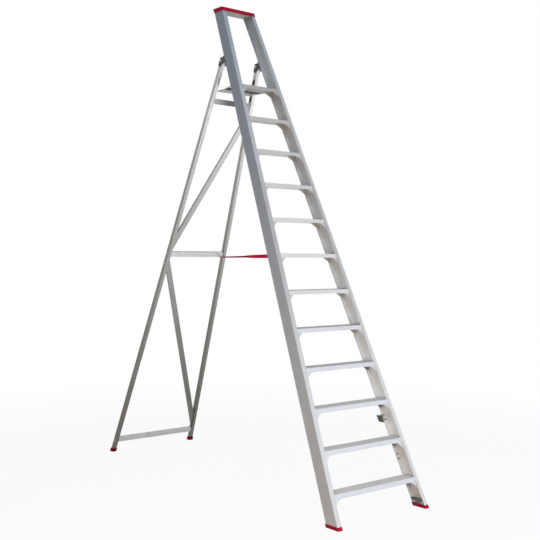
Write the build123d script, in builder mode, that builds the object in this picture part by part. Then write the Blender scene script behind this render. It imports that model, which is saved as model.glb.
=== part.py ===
from math import atan2, ceil, cos, hypot, radians, sin, tan
import os

from build123d import *

os.makedirs("parts", exist_ok=True)

# Sizes of the front frame, in millimetres and degrees
stile_angle = 66.0
floor_width = 788.0
top_width = 292.0
hoop_height = 592.5
stile_foot = 8.0
stile_depth = 95.0
stile_flange = 31.0
stile_wall = 2.5
stile_corner = 4.0
stile_inner_corner = 1.5

# Sizes of the treads and the folded brackets that carry them
tread_count = 12
first_tread = 186.0
tread_rise = 237.5
tread_face = 27.0
tread_plate = 3.0
tread_wall = 2.2
tread_nose = 3.0
groove_count = 9
groove_width = 3.2
groove_depth = 0.9
edge_groove_depth = 1.5
edge_groove_inset = 9.0
bracket_wall = 2.5
gusset_reach = 42.0
gusset_drop = 40.0
gusset_tuck = 8.0
gusset_hollow = 2.5

# Sizes of the rear frame; bars and braces are placed by heights
base_depth = 2681.0
rear_tuck = 20.0
pivot_over_platform = 195.5
pivot_setback = 36.4
leg_width = 28.0
leg_depth = 35.0
leg_wall = 2.0
leg_corner = 3.0
leg_foot = 6.0
leg_over_pivot = 10.0
bar_depth = 20.0
bar_wall = 1.6
bar_face = 38.0
top_bar_face = 34.0
bottom_bar_low = 84.0
middle_bar_share = 0.53
top_bar_drop = 95.5
brace_width = 40.0
brace_depth = 18.0
upper_brace_start = 103.0
upper_brace_end = 63.0
lower_brace_start = 55.0
lower_brace_end = 106.0

# Sizes of the pivots
pin_radius = 4.0
pin_clearance = 0.05
pin_head_radius = 6.5
pin_head_height = 2.5
pin_head_gap = 0.9
cheek_wall = 2.5
cheek_gap = 1.7
cheek_head = 17.0
cheek_tail = 43.0
cheek_tail_front = 8.0
cheek_cover = 1.0
cheek_corner = 5.0
cheek_root_high = 12.0
cheek_root_low = 33.0
pivot_plate = 3.0
pivot_half_height = 33.0

# Sizes of the platform
deck_front_half = 178.0
deck_rear_half = 139.5
deck_length = 211.0
deck_taper_end = 150.0
deck_drop = 10.0
deck_plate = 3.0
deck_wall = 2.2
deck_groove_count = 20
nose_radius = 6.0
nose_gap = 2.0
side_start = 22.0
hinge_half = 136.0
support_radius = 5.0
support_gap = 1.5
stiffener_start = 66.0
stiffener_width = 58.0
stiffener_height = 9.0
stiffener_slant = 6.0
rod_radius = 4.0
lug_width = 11.0
lug_radius = 6.5
lug_clearance = 1.5
lug_foot_width = 26.0
lug_foot_wall = 2.5
lug_foot_height = 19.0
lug_root = 1.0
lug_chin_angle = -41.0
rest_drop = 51.5
rest_rise = 101.5
rest_wall = 4.0
rest_width = 20.0

# Sizes of the plastic parts, the leg catch and the strap
cap_wall = 3.6
cap_skirt = 25.0
cap_roof = 3.7
cap_corner = 9.0
crossbar_drop = 27.0
crossbar_height = 24.0
crossbar_side_gap = 1.8
boot_wall = 3.6
boot_height = 20.0
boot_corner = 6.0
sole_groove_count = 4
sole_groove_width = 5.0
sole_groove_length = 100.0
sole_groove_depth = 1.6
insert_height = 40.0
insert_corner = 2.2
insert_setback = 1.0
rear_boot_wall = 4.0
rear_boot_height = 28.0
rear_boot_corner = 5.0
catch_height = 503.0
catch_length = 42.0
catch_wall = 3.2
catch_prong = 42.0
catch_gap = 1.2
strap_lift = 6.5
strap_width = 25.0
strap_wall = 1.8
strap_tab = 30.0
strap_inset = 5.0
strap_lap = 6.0
strap_turns = ((0.1, 0.0), (0.46, 68.0), (0.94, 74.0), (1.0, 90.0))
strap_step_turn = 12.0
strap_trim = 60.0
fit_gap = 0.3

# Directions and levels that follow from the sizes
alpha = radians(stile_angle)
lean = 1.0 / tan(alpha)
platform_level = first_tread + (tread_count - 1) * tread_rise
stile_top = platform_level + hoop_height
pivot_height = platform_level + pivot_over_platform
rear_half_spread = floor_width / 2 - rear_tuck
spread = (floor_width - top_width) / 2 / stile_top
pivot_level = (stile_depth + pivot_setback) / sin(alpha)
leg_run = base_depth - pivot_height * lean - pivot_level
beta = atan2(pivot_height, leg_run)
leg_lean = leg_run / pivot_height
leg_level_depth = leg_depth / sin(beta)
front_reach = boot_wall + fit_gap
rear_reach = leg_level_depth / 2 + fit_gap + rear_boot_wall
toe_y = -(base_depth + rear_reach - front_reach) / 2
heel_y = toe_y + base_depth
pivot_y = heel_y - leg_run
pivot_x = floor_width / 2 - spread * pivot_height - stile_flange / 2
leg_spread = (rear_half_spread - pivot_x) / pivot_height
inside_face = stile_wall + fit_gap
inside_back = stile_depth - inside_face
middle_bar_low = middle_bar_share * pivot_height
top_bar_low = platform_level - top_bar_drop
strap_height = middle_bar_low + strap_lift
cap_lower = stile_top - cap_skirt
crossbar_lower = stile_top - crossbar_drop
level_run = hypot(lean, 1)
stile_run = hypot(spread, lean, 1)
leg_rise = hypot(leg_spread, leg_lean, 1)
up_slope = (0, lean, 1)
straight_back = (0, 1, 0)


def up_stile(side):
    return (-side * spread, lean, 1)


def up_leg(side):
    return (-side * leg_spread, -leg_lean, 1)


def outer_x(height):
    return floor_width / 2 - spread * height


def behind(height, setback):
    # Level position of a plane that lies square behind the front of the stiles
    return toe_y + height * lean + setback / sin(alpha)


def leg_x(height):
    return rear_half_spread - leg_spread * height


def leg_y(height):
    return heel_y - leg_lean * height


def climb_plane(setback):
    # The slope of the climbing side, set back square to itself
    origin = (0, behind(0, setback), 0)
    return Plane(origin=origin, x_dir=(1, 0, 0), z_dir=(0, -sin(alpha), cos(alpha)))


def on_climb(x, height):
    return (x, height / sin(alpha))


def prop_plane(advance):
    # The slope of the rear legs, brought forward square to itself
    origin = (0, heel_y - advance / sin(beta), 0)
    return Plane(origin=origin, x_dir=(1, 0, 0), z_dir=(0, -sin(beta), -cos(beta)))


def on_prop(x, height):
    return (x, height / sin(beta))


def pivot_plane(side):
    return Plane(origin=(side * pivot_x, pivot_y, pivot_height), x_dir=(0, 1, 0), z_dir=(1, 0, 0))


def cheek_plane(side, offset):
    # A plane that leans with the leg, moved across from the middle of the leg
    tilted = Plane(
        origin=(side * pivot_x, pivot_y, pivot_height),
        x_dir=(0, 1, 0),
        z_dir=(1, 0, side * leg_spread),
    )
    return tilted.offset(offset)


def level_box(x_near, x_far, y_near, y_far):
    with Locations(((x_near + x_far) / 2, (y_near + y_far) / 2)):
        Rectangle(abs(x_far - x_near), abs(y_far - y_near))


def save(builder, name):
    builder.part.label = name
    export_step(builder.part, f"parts/{name}.step")


deck_axis_y = behind(platform_level, inside_back) + nose_gap + nose_radius
deck_axis_z = platform_level - nose_radius
sides = (("left", -1), ("right", 1))

# Front stiles: open channels with the flanges turned inward
for word, side in sides:
    stile_outer = side * outer_x(stile_foot)
    stile_edge = side * (outer_x(stile_foot) - stile_flange)
    stile_inner = side * (outer_x(stile_foot) - stile_wall)
    stile_front = behind(stile_foot, 0)
    stile_back = behind(stile_foot, stile_depth)
    level_wall = stile_wall / sin(alpha)
    with BuildPart() as stile:
        with BuildSketch(Plane.XY.offset(stile_foot)) as channel:
            with BuildLine():
                Polyline(
                    (stile_outer, stile_front),
                    (stile_outer, stile_back),
                    (stile_edge, stile_back),
                    (stile_edge, stile_back - level_wall),
                    (stile_inner, stile_back - level_wall),
                    (stile_inner, stile_front + level_wall),
                    (stile_edge, stile_front + level_wall),
                    (stile_edge, stile_front),
                    close=True,
                )
            make_face()
            inner_group, outer_group = (1, 0) if side < 0 else (-2, -1)
            fillet(channel.vertices().group_by(Axis.X)[inner_group], stile_inner_corner)
            fillet(channel.vertices().group_by(Axis.X)[outer_group], stile_corner)
        extrude(amount=(stile_top - stile_foot) * stile_run, dir=up_stile(side))
    save(stile, f"{word}_stile")

# Treads: a grooved top over two faces that slope with the stiles
for number in range(1, tread_count + 1):
    top = first_tread + (number - 1) * tread_rise
    low = top - tread_face
    under = top - tread_plate
    level_wall = tread_wall / sin(alpha)
    half_length = outer_x(top) - stile_wall - bracket_wall - 2 * fit_gap
    nose_y = behind(top, inside_face)
    tail_y = behind(top, inside_back)
    groove_step = (tail_y - nose_y - 2 * edge_groove_inset) / (groove_count - 1)
    end_plane = Plane(origin=(-half_length, 0, 0), x_dir=(0, 1, 0), z_dir=(1, 0, 0))
    with BuildPart() as tread:
        with BuildSketch(end_plane) as section:
            with BuildLine():
                Polyline(
                    (nose_y, top),
                    (tail_y, top),
                    (behind(low, inside_back), low),
                    (behind(low, inside_back) - level_wall, low),
                    (behind(under, inside_back) - level_wall, under),
                    (behind(under, inside_face) + level_wall, under),
                    (behind(low, inside_face) + level_wall, low),
                    (behind(low, inside_face), low),
                    close=True,
                )
            make_face()
            fillet(section.vertices().group_by(Axis.Y)[-1], tread_nose)
            for groove in range(groove_count):
                at_edge = groove in (0, groove_count - 1)
                depth = edge_groove_depth if at_edge else groove_depth
                with Locations((nose_y + edge_groove_inset + groove * groove_step, top)):
                    Rectangle(groove_width, 2 * depth, mode=Mode.SUBTRACT)
        extrude(amount=2 * half_length)
    save(tread, f"tread_{number:02d}")

# Tread brackets: a folded sheet on each stile web, with a gusset below each tread face
cheek_front = inside_face + tread_wall + fit_gap
cheek_back = stile_depth - cheek_front
sheet_depth = (cheek_back - cheek_front) / sin(alpha)
void_depth = sheet_depth - 2 * bracket_wall / sin(alpha)
for number in range(1, tread_count + 1):
    top = first_tread + (number - 1) * tread_rise
    low = top - tread_face
    roof = top - tread_plate - fit_gap
    toe = low - gusset_drop - gusset_tuck
    gusset_start = outer_x(low) - stile_flange - gusset_reach
    gusset_end = outer_x(toe) - stile_flange + gusset_tuck
    belly_x = (gusset_start + gusset_end) / 2 + gusset_hollow
    belly_z = (low + toe) / 2 + gusset_hollow
    web_low = outer_x(toe) - stile_wall - fit_gap
    web_high = outer_x(roof) - stile_wall - fit_gap
    void_start = gusset_start - gusset_tuck
    with BuildPart() as brackets:
        for side in (-1, 1):
            with BuildSketch(climb_plane(cheek_front)):
                with BuildLine():
                    Polyline(
                        on_climb(side * gusset_end, toe),
                        on_climb(side * web_low, toe),
                        on_climb(side * web_high, roof),
                        on_climb(side * gusset_start, roof),
                        on_climb(side * gusset_start, low),
                    )
                    ThreePointArc(
                        on_climb(side * gusset_start, low),
                        on_climb(side * belly_x, belly_z),
                        on_climb(side * gusset_end, toe),
                    )
                make_face()
            extrude(amount=sheet_depth, dir=straight_back)
            with BuildSketch(climb_plane(cheek_front + bracket_wall)):
                with BuildLine():
                    Polyline(
                        on_climb(side * (web_low - bracket_wall), toe),
                        on_climb(side * (web_high - bracket_wall), roof),
                        on_climb(side * void_start, roof),
                        on_climb(side * void_start, toe),
                        close=True,
                    )
                make_face()
            extrude(amount=void_depth, dir=straight_back, mode=Mode.SUBTRACT)
    save(brackets, f"tread_{number:02d}_brackets")

# Top crossbar: an open channel between the stile tops, under the cap
crossbar_half = outer_x(crossbar_lower + crossbar_height) - stile_wall - crossbar_side_gap
trough = crossbar_lower + tread_plate
with BuildPart() as top_crossbar:
    with BuildSketch(Plane.XY.offset(crossbar_lower)):
        level_box(
            -crossbar_half,
            crossbar_half,
            behind(crossbar_lower, inside_face),
            behind(crossbar_lower, inside_back),
        )
    extrude(amount=crossbar_height * level_run, dir=up_slope)
    with BuildSketch(Plane.XY.offset(trough)):
        level_box(
            -crossbar_half,
            crossbar_half,
            behind(trough, inside_face + tread_wall),
            behind(trough, inside_back - tread_wall),
        )
    extrude(amount=crossbar_height * level_run, dir=up_slope, mode=Mode.SUBTRACT)
save(top_crossbar, "top_crossbar")

# Top cap: a lid with slanting walls over the stile tops
pocket_half = outer_x(cap_lower) + fit_gap
pocket_front = behind(cap_lower, 0) - fit_gap
pocket_back = behind(cap_lower, stile_depth) + fit_gap
pocket_height = cap_skirt + fit_gap
with BuildPart() as top_cap:
    with BuildSketch(Plane.XY.offset(cap_lower)) as lid:
        level_box(
            -pocket_half - cap_wall,
            pocket_half + cap_wall,
            pocket_front - cap_wall,
            pocket_back + cap_wall,
        )
        fillet(lid.vertices(), cap_corner)
    extrude(amount=(pocket_height + cap_roof) * level_run, dir=up_slope)
    chamfer(top_cap.faces().sort_by(Axis.Z)[-1].edges(), cap_wall / 2)
    with BuildSketch(Plane.XY.offset(cap_lower)):
        level_box(-pocket_half, pocket_half, pocket_front, pocket_back)
    extrude(amount=pocket_height * level_run, dir=up_slope, mode=Mode.SUBTRACT)
save(top_cap, "top_cap")

# Front boots, grooved below, and the plugs in the channel ends
for word, side in sides:
    sole_outer = side * (outer_x(0) + fit_gap + boot_wall)
    sole_inner = side * (outer_x(0) - stile_flange - fit_gap - boot_wall)
    sole_front = behind(0, 0) - fit_gap - boot_wall
    sole_back = behind(0, stile_depth) + fit_gap + boot_wall
    groove_step = (sole_back - sole_front) / (sole_groove_count + 1)
    with BuildPart() as boot:
        with BuildSketch() as sole:
            level_box(sole_outer, sole_inner, sole_front, sole_back)
            fillet(sole.vertices(), boot_corner)
        extrude(amount=boot_height * stile_run, dir=up_stile(side))
        chamfer(boot.faces().sort_by(Axis.Z)[-1].edges(), boot_wall / 3)
        with BuildSketch(Plane.XY.offset(stile_foot)):
            level_box(
                side * (outer_x(stile_foot) + fit_gap),
                side * (outer_x(stile_foot) - stile_flange - fit_gap),
                behind(stile_foot, 0) - fit_gap,
                behind(stile_foot, stile_depth) + fit_gap,
            )
        extrude(amount=boot_height * stile_run, dir=up_stile(side), mode=Mode.SUBTRACT)
        with BuildSketch():
            for groove in range(sole_groove_count):
                with Locations((sole_outer, sole_front + (groove + 1) * groove_step)):
                    Rectangle(sole_groove_length, sole_groove_width)
        extrude(amount=sole_groove_depth, mode=Mode.SUBTRACT)
    save(boot, f"{word}_front_boot")

    with BuildPart() as plug:
        with BuildSketch(Plane.XY.offset(stile_foot)) as plug_section:
            level_box(
                side * (outer_x(stile_foot) - inside_face),
                side * (outer_x(stile_foot) - stile_flange + insert_setback),
                behind(stile_foot, inside_face),
                behind(stile_foot, inside_back),
            )
            fillet(plug_section.vertices(), insert_corner)
        extrude(amount=insert_height * stile_run, dir=up_stile(side))
    save(plug, f"{word}_foot_insert")

# Pivot brackets: a plate on the back of each stile with two cheeks round the leg
cheek_inner = leg_width / 2 + cheek_gap
cheek_outer = cheek_inner + cheek_wall
plate_low = pivot_height - pivot_half_height
root_reach = pivot_setback - pivot_plate / 2
cheek_rear = leg_depth / 2 + cheek_cover


def from_stile(up, back):
    # Position from the pivot, measured up the stile and square behind it
    return (up * cos(alpha) + back * sin(alpha), up * sin(alpha) - back * cos(alpha))


def from_leg(up, back):
    # Position from the pivot, measured up the opened leg and square behind it
    return (back * sin(beta) - up * cos(beta), back * cos(beta) + up * sin(beta))


for word, side in sides:
    plate_x = side * leg_x(plate_low)
    with BuildPart() as pivot_bracket:
        with BuildSketch(Plane.XY.offset(plate_low)):
            level_box(
                plate_x - cheek_outer,
                plate_x + cheek_outer,
                behind(plate_low, stile_depth),
                behind(plate_low, stile_depth + pivot_plate),
            )
        plate_lean = (-side * leg_spread, lean, 1)
        extrude(amount=2 * pivot_half_height * hypot(*plate_lean), dir=plate_lean)
        for cheek_offset in (-cheek_outer, cheek_inner):
            with BuildSketch(cheek_plane(side, cheek_offset)) as cheek:
                with BuildLine():
                    Polyline(
                        from_stile(-cheek_root_low, -root_reach),
                        from_stile(cheek_root_high, -root_reach),
                        from_leg(cheek_head, cheek_rear),
                        from_leg(-cheek_tail, cheek_rear),
                        from_leg(-cheek_tail, -cheek_tail_front),
                        close=True,
                    )
                make_face()
                fillet(cheek.vertices().sort_by(Axis.X)[-3:], cheek_corner)
            extrude(amount=cheek_wall)
        with BuildSketch(pivot_plane(side)):
            Circle(pin_radius + pin_clearance)
        extrude(amount=2 * cheek_outer, both=True, mode=Mode.SUBTRACT)
    save(pivot_bracket, f"{word}_pivot_bracket")

    pin_half = cheek_outer + pin_head_gap
    with BuildPart() as pivot_pin:
        with BuildSketch(pivot_plane(side).offset(-pin_half)):
            Circle(pin_radius)
        extrude(amount=2 * pin_half)
        for end in (-1, 1):
            dome_plane = Plane(
                origin=(side * pivot_x + end * pin_half, pivot_y, pivot_height),
                x_dir=(0, 1, 0),
                z_dir=(end, 0, 0),
            )
            with BuildSketch(dome_plane):
                Circle(pin_head_radius)
            extrude(amount=pin_head_height)
    save(pivot_pin, f"{word}_pivot_pin")

# Rear legs: rectangular tubes, drilled for the pins, with a boot on each
for word, side in sides:
    with BuildPart() as leg:
        with BuildSketch(Plane.XY.offset(leg_foot)):
            with Locations((side * leg_x(leg_foot), leg_y(leg_foot))):
                RectangleRounded(leg_width, leg_level_depth, leg_corner)
                Rectangle(
                    leg_width - 2 * leg_wall,
                    leg_level_depth - 2 * leg_wall / sin(beta),
                    mode=Mode.SUBTRACT,
                )
        leg_height = pivot_height + leg_over_pivot - leg_foot
        extrude(amount=leg_height * leg_rise, dir=up_leg(side))
        with BuildSketch(pivot_plane(side)):
            Circle(pin_radius + pin_clearance)
        extrude(amount=leg_width, both=True, mode=Mode.SUBTRACT)
    save(leg, f"{word}_rear_leg")

    with BuildPart() as rear_boot:
        with BuildSketch():
            with Locations((side * leg_x(0), leg_y(0))):
                RectangleRounded(
                    leg_width + 2 * (fit_gap + rear_boot_wall),
                    leg_level_depth + 2 * (fit_gap + rear_boot_wall),
                    rear_boot_corner,
                )
        extrude(amount=rear_boot_height * leg_rise, dir=up_leg(side))
        with BuildSketch(Plane.XY.offset(leg_foot)):
            with Locations((side * leg_x(leg_foot), leg_y(leg_foot))):
                RectangleRounded(
                    leg_width + 2 * fit_gap,
                    leg_level_depth + 2 * fit_gap,
                    leg_corner - fit_gap,
                )
        extrude(amount=rear_boot_height * leg_rise, dir=up_leg(side), mode=Mode.SUBTRACT)
    save(rear_boot, f"{word}_rear_boot")

# Crossbars between the rear legs: flat tubes cut to the splay of the legs
def bar_end(height):
    return leg_x(height) - leg_width / 2 - fit_gap


for name, bar_low, bar_high in (
    ("rear_bottom_crossbar", bottom_bar_low, bottom_bar_low + bar_face),
    ("rear_middle_crossbar", middle_bar_low, middle_bar_low + bar_face),
    ("rear_top_crossbar", top_bar_low, top_bar_low + top_bar_face),
):
    with BuildPart() as crossbar:
        for inset, half_depth, mode in (
            (0, bar_depth / 2, Mode.ADD),
            (bar_wall, bar_depth / 2 - bar_wall, Mode.SUBTRACT),
        ):
            with BuildSketch(prop_plane(0)):
                with BuildLine():
                    Polyline(
                        on_prop(-bar_end(bar_low + inset), bar_low + inset),
                        on_prop(bar_end(bar_low + inset), bar_low + inset),
                        on_prop(bar_end(bar_high - inset), bar_high - inset),
                        on_prop(-bar_end(bar_high - inset), bar_high - inset),
                        close=True,
                    )
                make_face()
            extrude(amount=half_depth, both=True, mode=mode)
    save(crossbar, name)

# Diagonal braces: flat tubes from the left leg to the right leg, mitred to both
leg_taper = leg_spread * sin(beta)
leg_inside = rear_half_spread - leg_width / 2 - fit_gap


def mitre(start, along, side, offset):
    # Where a line beside the brace's middle line meets the inner face of a leg
    line_x = start[0] - offset * along[1]
    line_run = start[1] + offset * along[0]
    gap = side * (leg_inside - leg_taper * line_run) - line_x
    step = gap / (along[0] + side * leg_taper * along[1])
    return (line_x + step * along[0], line_run + step * along[1])


for name, left_height, right_height in (
    ("upper_brace", middle_bar_low + upper_brace_start, top_bar_low - upper_brace_end),
    ("lower_brace", middle_bar_low - lower_brace_start, bottom_bar_low + lower_brace_end),
):
    start = on_prop(-bar_end(left_height), left_height)
    finish = on_prop(bar_end(right_height), right_height)
    length = hypot(finish[0] - start[0], finish[1] - start[1])
    along = ((finish[0] - start[0]) / length, (finish[1] - start[1]) / length)
    with BuildPart() as brace:
        for half_width, half_depth, mode in (
            (brace_width / 2, brace_depth / 2, Mode.ADD),
            (brace_width / 2 - bar_wall, brace_depth / 2 - bar_wall, Mode.SUBTRACT),
        ):
            with BuildSketch(prop_plane(0)):
                with BuildLine():
                    Polyline(
                        mitre(start, along, -1, -half_width),
                        mitre(start, along, 1, -half_width),
                        mitre(start, along, 1, half_width),
                        mitre(start, along, -1, half_width),
                        close=True,
                    )
                make_face()
            extrude(amount=half_depth, both=True, mode=mode)
    save(brace, name)

# Platform rests: a guide strip on the inner face of each rear leg, and the rod under the deck's rear edge
strip_low = platform_level - rest_drop
strip_high = platform_level + rest_rise
for word, side in sides:
    strip_x = leg_x(strip_low) - leg_width / 2 - fit_gap
    with BuildPart() as rest:
        with BuildSketch(Plane.XY.offset(strip_low)):
            level_box(
                side * strip_x,
                side * (strip_x - rest_wall),
                leg_y(strip_low) - rest_width / 2,
                leg_y(strip_low) + rest_width / 2,
            )
        extrude(amount=(strip_high - strip_low) * leg_rise, dir=up_leg(side))
    save(rest, f"{word}_platform_rest")

support_level = platform_level - deck_plate - fit_gap - support_radius
support_back = deck_length - deck_wall - support_gap - support_radius
support_half = leg_x(support_level + support_radius) - leg_width / 2 - 2 * fit_gap - rest_wall
support_plane = Plane(
    origin=(0, deck_axis_y + support_back, support_level),
    x_dir=(0, 1, 0),
    z_dir=(1, 0, 0),
)
with BuildPart() as support_rod:
    with BuildSketch(support_plane):
        Circle(support_radius)
    extrude(amount=support_half, both=True)
save(support_rod, "platform_support_rod")

# Platform deck: a grooved plate that narrows to the rear, with a hinge nose, side flanges and a rear hook
nose_half = hinge_half - lug_width - 2 * lug_clearance
notch = lug_radius + lug_clearance
axis_plane = Plane(origin=(0, deck_axis_y, deck_axis_z), x_dir=(0, 1, 0), z_dir=(1, 0, 0))
deck_under = nose_radius - deck_plate
side_end = support_back - support_radius - support_gap
deck_groove_step = (deck_length - notch - 2 * edge_groove_inset) / (deck_groove_count - 1)
deck_taper = (deck_front_half - deck_rear_half) / (deck_taper_end - notch)


def deck_half(back):
    # Half the width of the deck at a distance behind the hinge
    return deck_rear_half + deck_taper * max(deck_taper_end - back, 0)


with BuildPart() as deck:
    with BuildSketch(axis_plane):
        with BuildLine():
            Polyline(
                (notch, nose_radius),
                (deck_length, nose_radius),
                (deck_length, nose_radius - deck_drop),
                (deck_length - deck_wall, nose_radius - deck_drop),
                (deck_length - deck_wall, deck_under),
                (notch, deck_under),
                close=True,
            )
        make_face()
        for groove in range(deck_groove_count):
            with Locations((notch + edge_groove_inset + groove * deck_groove_step, nose_radius)):
                Rectangle(groove_width, 2 * groove_depth, mode=Mode.SUBTRACT)
    extrude(amount=deck_front_half, both=True)
    with BuildSketch(Plane(origin=(0, deck_axis_y, platform_level))):
        with BuildLine():
            Polyline(
                (-deck_half(notch), notch),
                (deck_half(notch), notch),
                (deck_half(deck_taper_end), deck_taper_end),
                (deck_half(deck_length), deck_length),
                (-deck_half(deck_length), deck_length),
                (-deck_half(deck_taper_end), deck_taper_end),
                close=True,
            )
        make_face()
    extrude(amount=-deck_drop, mode=Mode.INTERSECT)
    with BuildSketch(Plane(origin=(0, deck_axis_y, platform_level - deck_drop))):
        for side in (-1, 1):
            with BuildLine():
                Polyline(
                    (side * deck_half(side_start), side_start),
                    (side * deck_half(deck_taper_end), deck_taper_end),
                    (side * deck_half(side_end), side_end),
                    (side * (deck_half(side_end) - deck_wall), side_end),
                    (side * (deck_half(deck_taper_end) - deck_wall), deck_taper_end),
                    (side * (deck_half(side_start) - deck_wall), side_start),
                    close=True,
                )
            make_face()
    extrude(amount=deck_drop - deck_plate)
    with BuildSketch(axis_plane):
        Circle(nose_radius)
        with Locations((notch / 2, nose_radius - deck_plate / 2)):
            Rectangle(notch + deck_wall, deck_plate)
    extrude(amount=nose_half, both=True)
    with BuildSketch(axis_plane):
        Circle(rod_radius + pin_clearance)
    extrude(amount=hinge_half, both=True, mode=Mode.SUBTRACT)
save(deck, "platform_deck")

# Platform stiffener: a dark moulded rib across the underside of the deck
rib_top = deck_under - fit_gap
rib_low = rib_top - stiffener_height
rib_end = stiffener_start + stiffener_width
rib_half = deck_half(rib_end) - deck_wall - fit_gap
with BuildPart() as stiffener:
    with BuildSketch(axis_plane):
        with BuildLine():
            Polyline(
                (stiffener_start, rib_top),
                (rib_end, rib_top),
                (rib_end - stiffener_slant, rib_low),
                (stiffener_start + stiffener_slant, rib_low),
                close=True,
            )
        make_face()
    extrude(amount=rib_half, both=True)
save(stiffener, "platform_stiffener")

# Hinge rod, and the lugs that hold it on the back of the top tread
with BuildPart() as hinge_rod:
    with BuildSketch(axis_plane):
        Circle(rod_radius)
    extrude(amount=hinge_half, both=True)
save(hinge_rod, "platform_hinge_rod")

lug_foot_top = platform_level - tread_plate
lug_foot_low = lug_foot_top - lug_foot_height
lug_inner = hinge_half - lug_width
lug_chin = radians(lug_chin_angle)


def from_axis(y, z):
    return (y - deck_axis_y, z - deck_axis_z)


with BuildPart() as hinge_lugs:
    for side in (-1, 1):
        foot_far = side * hinge_half
        foot_near = side * (hinge_half - lug_foot_width)
        with BuildSketch(climb_plane(inside_back)):
            with BuildLine():
                Polyline(
                    on_climb(foot_near, lug_foot_low),
                    on_climb(foot_far, lug_foot_low),
                    on_climb(foot_far, lug_foot_top),
                    on_climb(foot_near, lug_foot_top),
                    close=True,
                )
            make_face()
        extrude(amount=lug_foot_wall / sin(alpha), dir=straight_back)
        lug_side = lug_inner if side > 0 else -hinge_half
        with BuildSketch(axis_plane.offset(lug_side)):
            Circle(lug_radius)
            with BuildLine():
                Polyline(
                    from_axis(behind(lug_foot_top, inside_back) + lug_root, lug_foot_top),
                    from_axis(behind(lug_foot_low, inside_back) + lug_root, lug_foot_low),
                    (lug_radius * cos(lug_chin), lug_radius * sin(lug_chin)),
                    (0, lug_foot_top - deck_axis_z),
                    close=True,
                )
            make_face()
        extrude(amount=lug_width)
    with BuildSketch(axis_plane):
        Circle(rod_radius + pin_clearance)
    extrude(amount=2 * hinge_half, both=True, mode=Mode.SUBTRACT)
save(hinge_lugs, "platform_hinge_lugs")

# Leg catch: a fork on the back of the right stile that the folded leg drops into
catch_back = stile_depth + catch_prong
catch_square = stile_depth + pivot_setback
catch_run = (catch_height - pivot_height) * sin(alpha)
catch_run += (behind(catch_height, catch_square) - pivot_y) * cos(alpha)
catch_x = pivot_x - leg_spread * sin(beta) * catch_run
fork_inner = leg_width / 2 + catch_gap
fork_outer = fork_inner + catch_wall
with BuildPart() as leg_catch:
    with BuildSketch(Plane.XY.offset(catch_height)):
        level_box(
            catch_x - fork_outer,
            catch_x + fork_outer,
            behind(catch_height, stile_depth),
            behind(catch_height, stile_depth + catch_wall),
        )
        for side in (-1, 1):
            level_box(
                catch_x + side * fork_inner,
                catch_x + side * fork_outer,
                behind(catch_height, stile_depth),
                behind(catch_height, catch_back),
            )
    extrude(amount=catch_length * stile_run, dir=up_stile(1))
save(leg_catch, "leg_catch")

# Restraint strap: an upright tab on the left stile, a twisted run, a flat tab under the middle crossbar
front_x = -(outer_x(strap_height) - stile_flange / 2)
rear_x = bar_end(middle_bar_low) - strap_inset - strap_width / 2
under_bar = Plane(
    origin=(rear_x, leg_y(middle_bar_low) + fit_gap * cos(beta), middle_bar_low - fit_gap * sin(beta)),
    x_dir=(1, 0, 0),
    z_dir=(0, cos(beta), -sin(beta)),
)
run_start = Vector(
    front_x + strap_tab / 2,
    behind(strap_height, stile_depth + fit_gap),
    strap_height,
)
run_end = under_bar.from_local_coords(Vector(0, bar_depth / 2, strap_wall / 2))
run = run_end - run_start
run_along = run.normalized()
run_across = Vector(0, 0, 1).cross(run_along).normalized()
stations = [(-strap_width / run.length, 0.0)]
for (share, turn), (next_share, next_turn) in zip(strap_turns, strap_turns[1:]):
    steps = ceil((next_turn - turn) / strap_step_turn)
    for step in range(steps):
        part_way = step / steps
        stations.append((share + part_way * (next_share - share), turn + part_way * (next_turn - turn)))
stations.append(strap_turns[-1])
stations.append((1 + strap_lap / run.length, strap_turns[-1][1]))
with BuildPart() as strap:
    for share, turn in stations:
        width_dir = Vector(0, 0, 1) * cos(radians(turn)) + run_across * sin(radians(turn))
        with BuildSketch(Plane(origin=run_start + run * share, x_dir=width_dir, z_dir=run_along)):
            Rectangle(strap_width, strap_wall)
    loft(ruled=True)
    with BuildSketch(climb_plane(stile_depth + fit_gap)):
        with Locations(on_climb(front_x, strap_height)):
            Rectangle(2 * strap_trim, 2 * strap_trim)
    extrude(amount=strap_trim, mode=Mode.SUBTRACT)
    with BuildSketch(climb_plane(stile_depth + fit_gap)):
        with Locations(on_climb(front_x + strap_wall / 2, strap_height)):
            Rectangle(strap_tab + strap_wall, strap_width)
    extrude(amount=strap_wall / sin(alpha), dir=straight_back)
    with BuildSketch(under_bar):
        with Locations((0, strap_lap / 2)):
            Rectangle(strap_width, bar_depth + strap_lap)
    extrude(amount=strap_wall)
save(strap, "restraint_strap")
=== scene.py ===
import math

import bpy
import numpy as np
from mathutils import Matrix, Vector


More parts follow.
